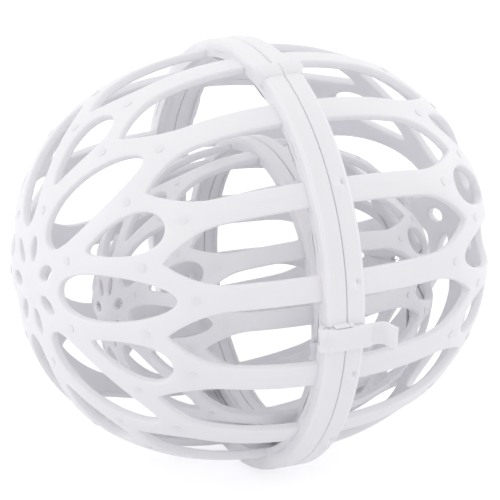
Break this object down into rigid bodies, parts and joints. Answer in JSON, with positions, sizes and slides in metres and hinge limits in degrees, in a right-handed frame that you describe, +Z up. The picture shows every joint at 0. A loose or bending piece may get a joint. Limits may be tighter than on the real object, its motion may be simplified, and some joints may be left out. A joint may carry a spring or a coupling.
{
  "type": "delicates wash ball",
  "caption": "Openwork plastic wash ball with hinged lattice halves and a clasp, holding a smaller ball of the same build loose inside to keep delicates in shape.",
  "frame": {"origin": "centre of the bounding box, on the parting plane of the outer ring", "axes": "+X through the poles towards the right half, +Y towards the hinge, +Z up"},
  "size_m": [0.1734, 0.1728, 0.1574],
  "materials": {
    "white_plastic": "satin moulded polypropylene"
  },
  "bodies": {
    "left_cage": {"outer_left_half": "white_plastic", "outer_hinge_pin": "white_plastic", "outer_clasp_pin": "white_plastic"},
    "right_cage": {"outer_right_half": "white_plastic"},
    "cage_clasp": {"outer_clasp": "white_plastic"},
    "ball_left": {"inner_left_half": "white_plastic", "inner_hinge_pin": "white_plastic", "inner_clasp_pin": "white_plastic"},
    "ball_right": {"inner_right_half": "white_plastic"},
    "ball_clasp": {"inner_clasp": "white_plastic"}
  },
  "joints": [
    {"name": "outer_hinge", "type": "hinge", "parent": "left_cage", "child": "right_cage", "pos_m": [0, 0.0828, 0], "axis": [0, 0, 1], "range_deg": [0, 180]},
    {"name": "outer_clasp_pivot", "type": "hinge", "parent": "left_cage", "child": "cage_clasp", "pos_m": [-0.0078, -0.0794, 0], "axis": [0, 0, -1], "range_deg": [0, 92]},
    {"name": "inner_ball_play", "type": "slide", "parent": "left_cage", "child": "ball_left", "axis": [0, 0, 1], "range_m": [0, 0.028]},
    {"name": "inner_hinge", "type": "hinge", "parent": "ball_left", "child": "ball_right", "pos_m": [0.006, 0.0592, -0.01544], "axis": [0, 0, 1], "range_deg": [0, 4]},
    {"name": "inner_clasp_pivot", "type": "hinge", "parent": "ball_left", "child": "ball_clasp", "pos_m": [0.0001, -0.0566, -0.01544], "axis": [0, 0, -1], "range_deg": [0, 15]}
  ]
}
